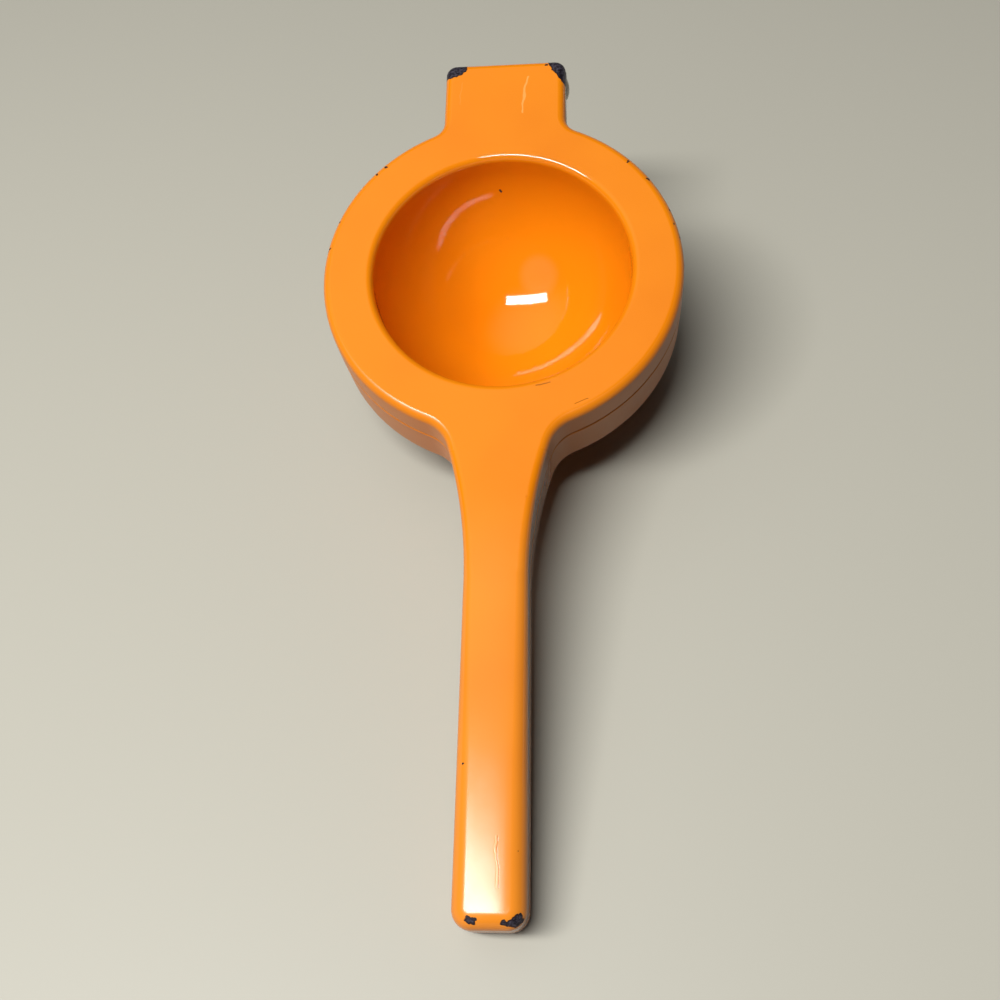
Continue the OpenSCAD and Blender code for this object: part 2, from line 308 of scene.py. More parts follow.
def turn_half(bm, before):
    """Spin what was drawn since before through half a turn, from -Y over +X to +Y."""
    drawn = [v for v in bm.verts if v not in before]
    edges = [e for e in bm.edges if all(v in drawn for v in e.verts)]
    bmesh.ops.spin(
        bm, geom=drawn + edges, cent=(0, 0, 0), axis=Z_AXIS, angle=pi, steps=HALF_TURN_STEPS
    )


def join_halves(bm):
    """Merge the half's seams, mirror it, and turn all faces outwards."""
    bmesh.ops.remove_doubles(bm, verts=bm.verts[:], dist=SEAM)
    parts = bm.verts[:] + bm.edges[:] + bm.faces[:]
    bmesh.ops.mirror(bm, geom=parts, axis="X", merge_dist=SEAM)
    bmesh.ops.recalc_face_normals(bm, faces=bm.faces[:])
    print(len(bm.faces), "faces,", sum(not e.is_manifold for e in bm.edges), "open edges")


# %% [markdown]
# ## Rounded outer edges
#
# The photograph shows a tight rounding round the ring and a softer one on the grip. A Bevel modifier reads
# a weight from each edge, so one modifier gives both, and the face where the levers meet gets the small
# rounding that makes the parting line show as a fine groove.

# %% Weights for the roundings
SHARP_EDGE = radians(50)
OUTER_WALL_R = RING_R - 1.5  # edges further in belong to the bowl or the cup
ON_FACE = 0.2


def weigh_edges(bm, outer_z, meeting_z):
    """Give the outline's edges past outer_z the large rounding, and those at meeting_z the small one."""
    weight = bm.edges.layers.float.new("bevel_weight_edge")
    for e in bm.edges:
        middle = (e.verts[0].co + e.verts[1].co) / 2
        inside = hypot(middle.x, middle.y) < OUTER_WALL_R
        if not e.is_manifold or e.calc_face_angle() < SHARP_EDGE or inside:
            continue
        if all(abs(v.co.z - meeting_z) < ON_FACE for v in e.verts):
            e[weight] = PARTING_ROUND / GRIP_ROUND
        elif all(abs(v.co.z) > outer_z for v in e.verts):
            e[weight] = edge_rounding(middle.y) / GRIP_ROUND


# %% From a bmesh to a finished object
EDGE_STEPS = 6


def as_object(name, bm):
    """Put a finished bmesh into a new object."""
    obj = bpy.data.objects.new(name, bpy.data.meshes.new(name))
    bm.to_mesh(obj.data)
    bm.free()
    bpy.context.collection.objects.link(obj)
    return obj


def settle(obj):
    """Make what the modifiers show the object's own mesh."""
    graph = bpy.context.evaluated_depsgraph_get()
    shown = bpy.data.meshes.new_from_object(obj.evaluated_get(graph))
    obj.modifiers.clear()
    obj.data = shown


def round_edges(obj):
    """Round the weighted edges."""
    bevel = obj.modifiers.new("rounded edges", "BEVEL")
    bevel.width, bevel.segments, bevel.profile = GRIP_ROUND, EDGE_STEPS, 0.5
    bevel.limit_method, bevel.offset_type = "WEIGHT", "OFFSET"
    bevel.use_clamp_overlap = False
    settle(obj)


# %% The upper casting's plate and dome
LIP_STEPS = 8

bm, lower = half_plate(
    LIP_R, root_r(DOME_R, DOME_RISE, PARTING_GAP), RING_T, PARTING_GAP, tab=True
)
before = set(bm.verts)
pen = bm.verts.new((0, -LIP_R, RING_T))
pen = arc_to(bm, pen, (0, -LIP_R, RING_T - LIP_ROUND), -90, LIP_STEPS, X_AXIS)
pen = line_to(bm, pen, 0, -BOWL_R, DOME_RISE)
ball_section(bm, pen, DOME_RISE, 90)
outer_section(bm, DOME_R, DOME_RISE, PARTING_GAP)
turn_half(bm, before)
join_halves(bm)
weigh_edges(bm, RING_T - 0.1, PARTING_GAP)
press = as_object("press_lever_enamel", bm)
round_edges(press)

# %% [markdown]
# The photograph's long reflection on the upper handle has a soft right-hand side, which a dead flat face
# wouldn't give. The top is a little crowned there, as a ground casting is: 0.3 mm lower at its sides than
# in the middle, on an arc of 40 mm across the handle. The cuts along the grip give that arc its points.

# %% The crown along the upper handle
CROWN_R, CROWN_FROM, CROWN_OVER = 40.0, 10.0, 30.0

for v in press.data.vertices:
    crown = v.co.x**2 / (2 * CROWN_R) * eased((-RING_R - CROWN_FROM - v.co.y) / CROWN_OVER)
    v.co.z -= crown * max(0, v.co.z / RING_T) ** 2
print(f"the handle's top is crowned by {(END_W / 2 - GRIP_ROUND) ** 2 / (2 * CROWN_R):.2f} mm")

# %% [markdown]
# ## The lower casting
#
# Its plate is the same outline with no tab. The underside follows the slow curve from the rim to the
# handle's end, and every outer point of it moves in by the draft. The cup hangs under it as the dome does
# under the ring, with a gap left between them for the rind.

# %% The lower casting's plate
rim_r = sqrt(CUP_IN_R**2 - CUP_Z**2)
bm, lower = half_plate(rim_r, root_r(CUP_R, CUP_Z, -RIM_D), 0, -RIM_D, tab=False)
bmesh.ops.recalc_face_normals(bm, faces=bm.faces[:])
for v in lower:
    v.co.z = cup_low(v.co.y)
    outer = hypot(v.co.x, v.co.y) > RING_R - 1 and v.normal.xy.length > 0.1
    if outer:
        out = v.normal.xy.normalized() if v.co.x > TOUCH else Vector((0, v.co.y)).normalized()
        v.co.xy -= out * (-v.co.z - edge_rounding(v.co.y)) * tan(DRAFT)
print(f"the rim leans in by {(RIM_D - EDGE_ROUND) * tan(DRAFT):.2f} mm")

# %% The lower casting's cup
before = set(bm.verts)
ball_section(bm, bm.verts.new((0, -rim_r, 0)), CUP_Z, 90 - degrees(asin(CUP_Z / CUP_IN_R)))
outer_section(bm, CUP_R, CUP_Z, -RIM_D)
turn_half(bm, before)
join_halves(bm)
weigh_edges(bm, END_T - 0.5, 0)
cup = as_object("cup_lever_enamel", bm)
round_edges(cup)

# %% [markdown]
# ## Cutting and joining
#
# The hinge's slot, the channels inside the handles and the drain slots are cut with closed cutters, as a
# mill or a core would leave them. Each cutter is a flat outline given a depth, and a Boolean modifier with
# the exact solver does the cut. A bevel afterwards is meant to round the new edges as enamel does. Many of
# them are far shorter than its 0.3 mm, and as it may not overlap, it shrinks to under 0.01 mm: the new
# edges are in effect sharp.

# %% Cutters and the Boolean
ROUND_STEPS = 64  # of a full circle about the pin
CUT_OVER = 1.0  # how far a cutter reaches out of the metal, mm


def fill(bm, verts):
    """Fill the outline that these vertices draw."""
    bmesh.ops.remove_doubles(bm, verts=verts, dist=TOUCH / 2)
    edges = [e for e in bm.edges if e.is_wire]
    return bmesh.ops.contextual_create(bm, geom=edges)["faces"]


def prism(bm, faces, vec):
    """Give a flat outline its depth."""
    made = bmesh.ops.extrude_face_region(bm, geom=faces)["geom"]
    tips = [part for part in made if isinstance(part, bmesh.types.BMVert)]
    bmesh.ops.translate(bm, verts=tips, vec=vec)
    bmesh.ops.recalc_face_normals(bm, faces=bm.faces[:])


def bevel_edges(bm, edges, offset, segments):
    """Round these edges."""
    bmesh.ops.bevel(
        bm, geom=edges, offset=offset, offset_type="OFFSET", segments=segments, profile=0.5,
        affect="EDGES", material=-1, clamp_overlap=True,
    )


def boolean(obj, bm, how):
    """Cut obj with the closed shape in bm, or join it on."""
    tool = as_object("tool", bm)
    step = obj.modifiers.new(how, "BOOLEAN")
    step.operation, step.solver, step.object = how, "EXACT", tool
    settle(obj)
    bpy.data.objects.remove(tool)
    print(obj.name, how.lower(), "gives", len(obj.data.polygons), "faces")


# %% Bars and slots
SLOT_STEPS = 12  # of each round end


def bar(r, half_length):
    """A round bar along X about the pin's axis."""
    bm = bmesh.new()
    place = Matrix.Translation((0, PIN_Y, PIN_Z)) @ Matrix.Rotation(pi / 2, 4, "Y")
    bmesh.ops.create_cone(
        bm, cap_ends=True, segments=ROUND_STEPS, radius1=r, radius2=r, depth=2 * half_length,
        matrix=place,
    )
    return bm


def obround(bm, a, b, width, z, turn=0.0):
    """A flat slot from a to b along Y, over its round ends, turned about the head's axis."""
    r = width / 2
    pen = line_to(bm, bm.verts.new((r, a + r, z)), r, b - r, z)
    pen = arc_to(bm, pen, (0, b - r, z), 180, SLOT_STEPS)
    pen = line_to(bm, pen, -r, a + r, z)
    arc_to(bm, pen, (0, a + r, z), 180, SLOT_STEPS)
    face = fill(bm, [v for v in bm.verts if not v.link_faces])
    turned = Matrix.Rotation(turn, 3, "Z")
    bmesh.ops.rotate(bm, verts=face[0].verts[:], cent=(0, 0, 0), matrix=turned)
    return face


# %% The hinge's ears, and the slot between them for the knuckle
boolean(press, bar(EAR_R, TAB_W / 2), "UNION")

half, r = KNUCKLE_W / 2 + SIDE_PLAY, EAR_R + KNUCKLE_GAP
bm = bmesh.new()
pen = first = bm.verts.new((-half, PIN_Y - r, PIN_Z - 2 * r))
pen = line_to(bm, pen, -half, TAB_Y + CUT_OVER, PIN_Z - 2 * r)
pen = line_to(bm, pen, -half, TAB_Y + CUT_OVER, PIN_Z + r)
pen = line_to(bm, pen, -half, PIN_Y, PIN_Z + r)
pen = arc_to(bm, pen, (-half, PIN_Y, PIN_Z), 90, ROUND_STEPS // 4, X_AXIS)
bmesh.ops.contextual_create(bm, geom=[pen, first])
prism(bm, fill(bm, bm.verts[:]), (2 * half, 0, 0))
boolean(press, bm, "DIFFERENCE")
boolean(press, bar(PIN_D / 2, TAB_W), "DIFFERENCE")

# %% [markdown]
# The lower lever reaches out under the tab with a tongue, and a round knuckle on it turns on the pin
# between the ears. One side view drawn with the pen holds both, and the tongue's end face is what the
# opened lever comes to rest against.

# %% The tongue and the knuckle
STOP_SLOPE, HEEL_STEPS, KNUCKLE_STEPS = 75, 8, 56
TONGUE_ROUND = 0.6  # at most: the short edges round the knuckle leave 0.2 mm of it

top, under = -PARTING_GAP, PIN_Z - 2 * EAR_R - RIM_D / 5
lead = sqrt(EAR_R**2 - STOP_OUT**2)
around = degrees(atan2(lead, STOP_OUT)) + 180 + degrees(asin((PIN_Z - top) / EAR_R))
side, slope = -KNUCKLE_W / 2, radians(STOP_SLOPE)
heel = Vector((side, STOP_Y - EDGE_ROUND, under + EDGE_ROUND))

bm = bmesh.new()
first = bm.verts.new((side, RING_R - ROOT_FILLET - EDGE_ROUND, top))
pen = line_to(bm, first, side, first.co.y, EDGE_ROUND / 2 - RIM_D)
pen = line_to(bm, pen, side, heel.y + EDGE_ROUND * cos(slope), heel.z - EDGE_ROUND * sin(slope))
pen = arc_to(bm, pen, heel, STOP_SLOPE, HEEL_STEPS, X_AXIS)
pen = line_to(bm, pen, side, STOP_Y, PIN_Z - lead)
pen = arc_to(bm, pen, (side, PIN_Y, PIN_Z), around, KNUCKLE_STEPS, X_AXIS)
bmesh.ops.contextual_create(bm, geom=[pen, first])
prism(bm, fill(bm, bm.verts[:]), (KNUCKLE_W, 0, 0))
side_edges = [e for e in bm.edges if abs(e.verts[0].co.x - e.verts[1].co.x) < TOUCH]
bevel_edges(bm, side_edges, TONGUE_ROUND, 3)
boolean(cup, bm, "UNION")
boolean(cup, bar(PIN_D / 2 + PIN_RUN, KNUCKLE_W), "DIFFERENCE")

# %% [markdown]
# Inside, both handles are cored out to save metal, and the cup drains through slots like the petals of a
# flower. None of that shows in the photograph, so its shapes are the usual ones of such squeezers. Each
# channel's floor has its cutter bevelled first, which leaves a soft corner in the casting.

# %% Channels inside the handles
CHANNEL_ROUND = 1.2

for lever, floor_z, open_z in (
    (press, RING_T - CHANNEL_ROOF, -CUT_OVER), (cup, -CHANNEL_D, CUT_OVER)
):
    bm = bmesh.new()
    face = obround(bm, END_Y + CHANNEL_BACK, NECK_Y - CHANNEL_BACK / 2, CHANNEL_W, floor_z)
    prism(bm, face, (0, 0, open_z - floor_z))
    deep = [e for e in bm.edges if all(abs(v.co.z - floor_z) < TOUCH for v in e.verts)]
    bevel_edges(bm, deep, CHANNEL_ROUND, 4)
    boolean(lever, bm, "DIFFERENCE")

# %% Drain slots in the cup's bottom
SLOT_COUNT, SLOT_W, SLOT_IN, SLOT_OUT, DRAIN_D = 8, 3.2, 8.0, 21.0, 3.6

bm = bmesh.new()
low_z = CUP_Z - CUP_R - CUT_OVER
for k in range(SLOT_COUNT):
    obround(bm, SLOT_IN, SLOT_OUT, SLOT_W, low_z, (k + 0.5) * 2 * pi / SLOT_COUNT)
place = Matrix.Translation((0, 0, low_z))
bmesh.ops.create_circle(
    bm, cap_ends=True, segments=ROUND_STEPS // 2, radius=DRAIN_D / 2, matrix=place
)
prism(bm, bm.faces[:], (0, 0, CUP_R / 2))
boolean(cup, bm, "DIFFERENCE")

# %% Soft edges on what was cut
CRUMB, SHARP_CUT, CUT_ROUND = 0.01, radians(38), 0.3


def soften_cuts(obj):
    """Bevel the edges that are still sharp."""
    bm = bmesh.new()
    bm.from_mesh(obj.data)
    bmesh.ops.remove_doubles(bm, verts=bm.verts[:], dist=CRUMB)
    bmesh.ops.dissolve_degenerate(bm, dist=CRUMB, edges=bm.edges[:])
    sharp = [e for e in bm.edges if e.is_manifold and e.calc_face_angle() > SHARP_CUT]
    bevel_edges(bm, sharp, CUT_ROUND, 2)
    open_edges = sum(not e.is_manifold for e in bm.edges)
    print(obj.name, len(sharp), "sharp edges,", len(bm.faces), "faces,", open_edges, "open edges")
    bm.to_mesh(obj.data)
    bm.free()


soften_cuts(press)
soften_cuts(cup)

# %% [markdown]
# ## The pin
#
# A plain steel pin, hammered over at both ends. Each head is a low dome a little wider than the pin. The
# pen draws half a section beside the pin's axis, and a full spin turns it.

# %% The riveted pin
HEAD_STEPS = 8

bm = bmesh.new()
head_r = ((PIN_HEAD_D / 2) ** 2 + PIN_HEAD_H**2) / (2 * PIN_HEAD_H)
head_a = degrees(asin(PIN_HEAD_D / 2 / head_r))
ear_x = TAB_W / 2
pen = bm.verts.new((-ear_x - PIN_HEAD_H, 0, 0))
pen = arc_to(bm, pen, (head_r - PIN_HEAD_H - ear_x, 0, 0), -head_a, HEAD_STEPS)
pen = line_to(bm, pen, -ear_x, PIN_D / 2, 0)
pen = line_to(bm, pen, ear_x, PIN_D / 2, 0)
pen = line_to(bm, pen, ear_x, PIN_HEAD_D / 2, 0)
arc_to(bm, pen, (ear_x + PIN_HEAD_H - head_r, 0, 0), -head_a, HEAD_STEPS)
bmesh.ops.spin(
    bm, geom=bm.verts[:] + bm.edges[:], cent=(0, 0, 0), axis=X_AXIS, angle=2 * pi,
    steps=ROUND_STEPS, use_merge=True,
)
bmesh.ops.remove_doubles(bm, verts=bm.verts[:], dist=TOUCH)
bmesh.ops.recalc_face_normals(bm, faces=bm.faces[:])
bmesh.ops.translate(bm, verts=bm.verts[:], vec=(0, PIN_Y, PIN_Z))
pin = as_object("hinge_pin_steel", bm)
print(f"the pin is {2 * (ear_x + PIN_HEAD_H):.1f} mm long over its heads")

# %% [markdown]
# ## Set down and shaded smooth
#
# The pieces go from the drawing frame to the table in their meshes, so that each object stays at the
# origin. Weighted normals let the large flat faces stay flat beside their roundings.

# %% Set down
CREASE, FLAT_WEIGHT = radians(42), 80

for obj in (press, cup, pin):
    obj.data.transform(SET_DOWN)
    obj.data.shade_smooth()
    obj.data.set_sharp_from_angle(angle=CREASE)
    weighted = obj.modifiers.new("flat faces stay flat", "WEIGHTED_NORMAL")
    weighted.keep_sharp, weighted.weight = True, FLAT_WEIGHT
    settle(obj)
    obj.data.name = obj.name
    print(obj.name, len(obj.data.polygons), "faces")

# %% [markdown]
# ## Colours and nodes
#
# Colours are written as the sRGB hex values that a picture editor shows, and one function turns them to the
# linear values that Blender mixes. One more adds a node with its settings and links. Where a node is handed
# to it as an input, it links the output that this node has in use.

# %% Colours and nodes
SMOOTH = {"interpolation_type": "SMOOTHSTEP"}  # for ranges with a soft start and end


def linear(hex_colour):
    """An sRGB hex colour as linear RGBA."""
    values = [int(hex_colour[k : k + 2], 16) / 255 for k in (1, 3, 5)]
    return [v / 12.92 if v <= 0.04045 else ((v + 0.055) / 1.055) ** 2.4 for v in values] + [1.0]


def add(tree, kind, inputs=None, **settings):
    """Add a node. Its inputs are values to set, and nodes or their outputs to link."""
    made = tree.nodes.new("ShaderNode" + kind)
    for key, value in settings.items():
        setattr(made, key, value)
    for socket, value in (inputs or {}).items():
        if isinstance(value, bpy.types.Node):
            value = next(out for out in value.outputs if out.enabled)
        if isinstance(value, bpy.types.NodeSocket):
            tree.links.new(value, made.inputs[socket])
        else:
            made.inputs[socket].default_value = value
    return made


def new_material(name):
    """A material without nodes, and its tree."""
    material = bpy.data.materials.new(name)
    material.use_nodes = True
    material.node_tree.nodes.clear()
    return material, material.node_tree


print(f"a middle grey of #808080 is {linear('#808080')[0]:.3f} in linear light")

# %% [markdown]
# ## Where a pattern sits
#
# All patterns read Object coordinates. One Mapping node turns them back into the drawing frame and scales
# them to millimetres, so that every size in the nodes is a real one and a chip can be given by its place on
# the drawing.

# %% Millimetres of the drawing frame
to_drawing = SET_DOWN.inverted()


def in_drawing(tree):
    """Coordinates of the drawing frame, in millimetres."""
    return add(tree, "Mapping", {
        "Vector": add(tree, "TexCoord").outputs["Object"],
        "Location": to_drawing.to_translation(),
        "Rotation": (-tilt, 0, 0),
        "Scale": (1000, 1000, 1000),
    })


print("the table's middle is drawn at", tuple(round(v, 1) for v in to_drawing.to_translation()))

# %% [markdown]
# ## Enamel on cast aluminium
#
# The real finish is a glossy coat baked onto a casting. Its surface isn't quite true: slow waves, about
# 28 mm long, come from the casting, and a fine peel of 2 mm from the coat. They are what makes the edges of
# the lamp's reflection waver. Both are noise, added up as a height in millimetres for the Bump node. A few
# pinholes of 0.3 mm, a little larger than real ones, are left where gas came through the coat.

# %% Waves, peel and pinholes of the coat
WAVE_LENGTH, WAVE_HEIGHT, PEEL_LENGTH, PEEL_HEIGHT = 28, 0.13, 2.2, 0.008
PINHOLE_SPACING, PINHOLE_EDGE, PINHOLE_MIDDLE = 11, 0.02, 0.008  # mm, and two shares of it


def coat_height(tree, spot):
    """The coat's height in millimetres."""
    waves = add(tree, "TexNoise", {"Vector": spot, "Scale": 1 / WAVE_LENGTH, "Detail": 1.0})
    peel = add(tree, "TexNoise", {"Vector": spot, "Scale": 1 / PEEL_LENGTH, "Detail": 2.0})
    low = add(tree, "Math", {0: waves, 1: WAVE_HEIGHT}, operation="MULTIPLY")
    return add(tree, "Math", {0: peel, 1: PEEL_HEIGHT, 2: low}, operation="MULTIPLY_ADD")


def pinholes(tree, spot):
    """1 in a pinhole, 0 beside it."""
    cells = add(tree, "TexVoronoi", {"Vector": spot, "Scale": 1 / PINHOLE_SPACING})
    return add(tree, "MapRange", {"Value": cells, "From Min": PINHOLE_EDGE, "From Max": PINHOLE_MIDDLE},
               **SMOOTH)


# %% [markdown]
# ## Chips and scratches
#
# Where the squeezer was knocked, the coat has come off in flakes: at the handle's end and in specks along
# the rims. The tab's corners get two large dark patches, drawn in the same way. A flake could be cut into the
# mesh, but it is only a tenth of a millimetre deep, so it is drawn. Each chip is a ball about a point on the
# surface. The place is shifted by noise first, and that makes the ball's outline ragged. Scratches are thin
# lines between two points, wavy for the same reason. Some rubbed the coat pale, and a few went through it
# and show as hair-thin dark cracks.

# %% Chips
RAGGED, RAGGED_BY = 0.7, (1.7, 1.7, 1.7)  # waves in a millimetre, and the shift in millimetres
FAR_OFF = 10.0


def wandering(tree, spot, scale, by):
    """The place, shifted by up to half of by, in millimetres along X, Y and Z."""
    noise = add(tree, "TexNoise", {"Vector": spot, "Scale": scale, "Detail": 3.0}).outputs["Color"]
    shift = add(tree, "VectorMath", {0: noise, 1: (0.5, 0.5, 0.5)}, operation="SUBTRACT")
    return add(tree, "VectorMath", {0: shift, 1: by, 2: spot}, operation="MULTIPLY_ADD")


def depth_in_chips(tree, spot, chips):
    """How far a place is inside the nearest chip. A chip is (x, y, z, radius), in millimetres."""
    near = wandering(tree, spot, RAGGED, RAGGED_BY)
    deepest = -FAR_OFF
    for x, y, z, radius in chips:
        away = add(tree, "VectorMath", {0: near, 1: (x, y, z)}, operation="DISTANCE")
        depth = add(tree, "Math", {0: radius, 1: away}, operation="SUBTRACT")
        deepest = add(tree, "Math", {0: depth, 1: deepest}, operation="MAXIMUM")
    return deepest


# %% Scratches
WAVY, WAVY_BY = 0.12, (3.0, 3.0, 0.0)
SCRATCH_FADE = 0.2


def on_scratches(tree, spot, scratches):
    """1 on a scratch, 0 beside it. A scratch is its two ends, as vectors, and half its width."""
    near = wandering(tree, spot, WAVY, WAVY_BY)
    closest = FAR_OFF
    for start, end, half_width in scratches:
        from_start = add(tree, "VectorMath", {0: near, 1: start}, operation="SUBTRACT")
        line = (end - start).normalized()
        along = add(tree, "VectorMath", {0: from_start, 1: line}, operation="DOT_PRODUCT")
        along = add(tree, "Clamp", {"Value": along, "Min": 0.0, "Max": (end - start).length})
        foot = add(tree, "VectorMath", {0: line, "Scale": along}, operation="SCALE")
        away = add(tree, "VectorMath", {0: from_start, 1: foot}, operation="DISTANCE")
        away = add(tree, "Math", {0: away, 1: half_width}, operation="SUBTRACT")
        closest = add(tree, "Math", {0: away, 1: closest}, operation="MINIMUM")
    return add(tree, "MapRange", {"Value": closest, "From Min": SCRATCH_FADE, "From Max": 0.0}, **SMOOTH)


# %% [markdown]
# ## The enamel's shader
#
# Enamel is pigment under a clear layer, so it is a dielectric with an IOR of 1.46 and a low roughness. The
# pigment varies slowly between two oranges. A paler colour along the handle is painted sheen, and hands have
# dulled its end.
# The head's outer edge has been rubbed dull too, so the lamp's line along it is a soft one. A chip shows
# two things from outside in: the coat's broken edge, burnt nearly black, then cast aluminium gone dull and
# grey. The step down into the chip is in the height.

# %% The coat's colour
ORANGE, DEEP_ORANGE, SCUFF_AND_SHEEN = "#E07F0B", "#D97606", "#FFBE72"
CLOUD_LENGTH, CLOUD_START, CLOUD_END = 33, 0.35, 0.9
SHEEN_FROM, SHEEN_TO, SHEEN_SHARE = -60.0, -90.0, 0.09  # along the handle, and the share of the painted sheen's pale colour
SCRATCH_PALE = 0.35


def coat_colour(tree, spot, moved, scratch):
    """Two oranges in slow clouds, with painted sheen making the handle paler, and paler on scratches."""
    cloud = add(tree, "TexNoise", {"Vector": moved, "Scale": 1 / CLOUD_LENGTH, "Detail": 2.0})
    cloud = add(tree, "MapRange", {"Value": cloud, "From Min": CLOUD_START, "From Max": CLOUD_END}, **SMOOTH)
    colour = add(tree, "Mix", {0: cloud, 6: linear(ORANGE), 7: linear(DEEP_ORANGE)}, data_type="RGBA")
    # Towards the handle's end a pale colour is mixed in: painted sheen.
    y = add(tree, "SeparateXYZ", {0: spot}).outputs["Y"]
    painted_sheen = add(tree, "MapRange", {"Value": y, "From Min": SHEEN_FROM, "From Max": SHEEN_TO, "To Max": SHEEN_SHARE},
               **SMOOTH)
    scratch_and_sheen = add(tree, "Math", {0: scratch, 1: SCRATCH_PALE, 2: painted_sheen}, operation="MULTIPLY_ADD")
    return add(tree, "Mix", {0: scratch_and_sheen, 6: colour, 7: linear(SCUFF_AND_SHEEN)}, data_type="RGBA")


# %% The metal in a chip
DULL_METAL, DARK_METAL = "#56515E", "#1F1822"
GRAIN, GRAIN_START, GRAIN_END = 1.6, 0.35, 0.7  # waves in a millimetre, and the noise's range


def bare_metal(tree, spot):
    """Cast aluminium gone dull, between two greys."""
    tone = add(tree, "TexNoise", {"Vector": spot, "Scale": GRAIN, "Detail": 3.0})
    tone = add(tree, "MapRange", {"Value": tone, "From Min": GRAIN_START, "From Max": GRAIN_END}, **SMOOTH)
    return add(tree, "Mix", {0: tone, 6: linear(DARK_METAL), 7: linear(DULL_METAL)}, data_type="RGBA")


# %% The coat's roughness
HAZE_LENGTH, GLOSS, HAZE = 9, 0.025, 0.04
HELD_FROM, HELD_TO, HELD_DULL = -85.0, -150.0, 0.17  # along the handle, and the roughness added
EDGE_DULL = 0.3


def coat_roughness(tree, spot, moved):
    """A high gloss, a little hazy in places, duller on the handle's end and on the head's outer edge."""
    place = add(tree, "SeparateXYZ", {0: spot}).outputs
    held = add(tree, "MapRange", {"Value": place["Y"], "From Min": HELD_FROM, "From Max": HELD_TO,
                                  "To Max": HELD_DULL}, **SMOOTH)
    haze = add(tree, "TexNoise", {"Vector": moved, "Scale": 1 / HAZE_LENGTH, "Detail": 3.0})
    haze = add(tree, "Math", {0: haze, 1: HAZE, 2: GLOSS}, operation="MULTIPLY_ADD")
    haze = add(tree, "Math", {0: haze, 1: held}, operation="ADD")
    plan = add(tree, "VectorMath", {0: spot, 1: (1, 1, 0)}, operation="MULTIPLY")
    out = add(tree, "VectorMath", {0: plan}, operation="LENGTH").outputs["Value"]
    rubbed = EDGE_DULL
    for value, start, end in (
        (out, RING_R - 3.5, RING_R - 1.5),  # from the flat ring to its rounding
        (out, RING_R + 14, RING_R + 2),  # but not out on the tab and the handle
        (place["Z"], RING_T - 0.01, RING_T - 0.2),  # and only below the flat top
    ):
        share = add(tree, "MapRange", {"Value": value, "From Min": start, "From Max": end}, **SMOOTH)
        rubbed = add(tree, "Math", {0: share, 1: rubbed}, operation="MULTIPLY")
    return add(tree, "Math", {0: haze, 1: rubbed}, operation="ADD")


# %% The enamel
BURNT_EDGE, HOLE_DARK = "#1C0A0C", 0.6
EDGE_OUT, BARE_FROM, BARE_TO = -0.1, 0.2, 0.5  # depths in a chip, where its edge and its metal start, mm
CHIP_STEP, HOLE_STEP, SCRATCH_STEP = -0.12, -0.04, -0.012  # how far the marks go down, mm
CHIP_ROUGH, CHIP_METAL, MM = 0.4, 0.6, 0.001


def enamel(name, chips, scratches, cracks, seed):
    """Orange enamel with its own waves, chips, pale scratches and dark cracks."""
    material, tree = new_material(name)
    spot = in_drawing(tree)
    moved = add(tree, "VectorMath", {0: spot, 1: (seed, seed, seed)}, operation="ADD")
    depth = depth_in_chips(tree, spot, chips)
    scratch, crack = on_scratches(tree, spot, scratches), on_scratches(tree, spot, cracks)
    hole = add(tree, "Math", {0: pinholes(tree, moved), 1: crack}, operation="MAXIMUM")
    edge = add(tree, "MapRange", {"Value": depth, "From Min": EDGE_OUT, "From Max": 0.0}, **SMOOTH)
    bare = add(tree, "MapRange", {"Value": depth, "From Min": BARE_FROM, "From Max": BARE_TO}, **SMOOTH)

    dark = add(tree, "Math", {0: hole, 1: HOLE_DARK}, operation="MULTIPLY")
    dark = add(tree, "Math", {0: dark, 1: edge}, operation="MAXIMUM")
    colour = coat_colour(tree, spot, moved, scratch)
    colour = add(tree, "Mix", {0: dark, 6: colour, 7: linear(BURNT_EDGE)}, data_type="RGBA")
    colour = add(tree, "Mix", {0: bare, 6: colour, 7: bare_metal(tree, spot)}, data_type="RGBA")

    height = coat_height(tree, moved)
    for mark, step in ((edge, CHIP_STEP), (hole, HOLE_STEP), (scratch, SCRATCH_STEP)):
        height = add(tree, "Math", {0: mark, 1: step, 2: height}, operation="MULTIPLY_ADD")
    haze = coat_roughness(tree, spot, moved)
    shader = add(tree, "BsdfPrincipled", {
        "Base Color": colour,
        "Roughness": add(tree, "Math", {0: edge, 1: CHIP_ROUGH, 2: haze}, operation="MULTIPLY_ADD"),
        "Metallic": add(tree, "Math", {0: bare, 1: CHIP_METAL}, operation="MULTIPLY"),
        "IOR": 1.46,
        "Normal": add(tree, "Bump", {"Height": height, "Distance": MM, "Strength": 1.0}),
    })
    add(tree, "OutputMaterial", {"Surface": shader})
    print(len(tree.nodes), "nodes in", name)
    return material


# %% [markdown]
# ## The marks of this squeezer
#
# Places are in millimetres on the drawing. The photograph shows the upper lever's marks. The few on the
# lower lever's rim and handle are the same sort of wear, put where they would be knocked. A small chip is
# moved onto the surface. The two large balls at the tab's corners stay outside the metal, so that each
# cuts a slanting edge across its corner.

# %% Places on the surface
def on_surface(obj, x, y, z):
    """The nearest place on the piece, in the drawing frame."""
    return to_drawing @ obj.closest_point_on_mesh(SET_DOWN @ Vector((x, y, z)))[1]


def seated(obj, chips):
    """The chips with their centres moved onto the piece."""
    return [(*on_surface(obj, x, y, z), radius) for x, y, z, radius in chips]
